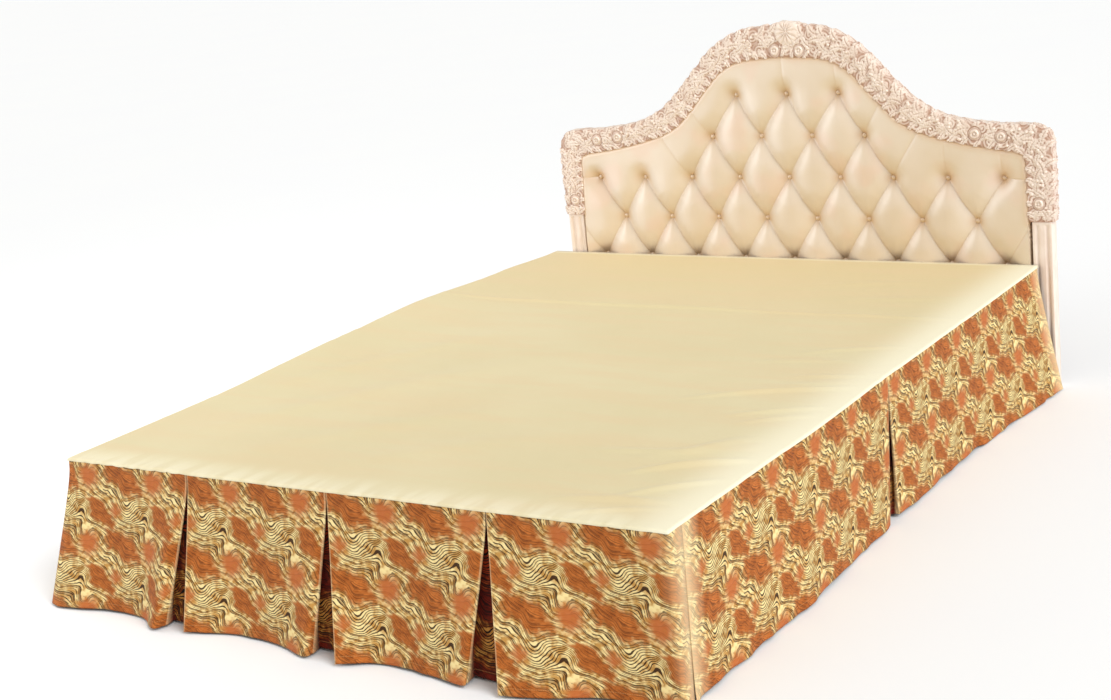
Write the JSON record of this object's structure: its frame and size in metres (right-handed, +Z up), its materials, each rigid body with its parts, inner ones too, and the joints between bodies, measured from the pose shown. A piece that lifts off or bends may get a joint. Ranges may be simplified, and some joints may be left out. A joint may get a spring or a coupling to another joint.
{
  "type": "bed skirt on a bed",
  "caption": "Bed skirt with a plain deck cloth and printed, box-pleated drops on three sides, fitted over a plain bed with a padded camelback headboard.",
  "frame": {"origin": "on the floor under the middle of the bed, at the middle of the centre leg's foot", "axes": "+Z up, +Y from the foot of the bed towards the headboard, +X to the right seen from the foot"},
  "size_m": [1.657, 2.1608, 0.986],
  "materials": {
    "cream_cloth": "plain satin weave cotton",
    "printed_cloth": "jacquard with a marbled rust and gold print",
    "bed_wood": "satin",
    "ivory_paint": "ivory lacquer",
    "cream_leather": "pearl cream, smooth"
  },
  "bodies": {
    "root": {"deck_cloth": "cream_cloth", "foot_drop": "printed_cloth", "right_drop": "printed_cloth", "left_drop": "printed_cloth", "bed_base": "bed_wood", "leg_foot_left": "bed_wood", "leg_foot_right": "bed_wood", "leg_head_left": "bed_wood", "leg_head_right": "bed_wood", "leg_centre": "bed_wood", "post_left": "ivory_paint", "post_right": "ivory_paint", "headboard_board": "bed_wood", "headboard_rim": "ivory_paint", "headboard_pad": "cream_leather"}
  },
  "joints": []
}
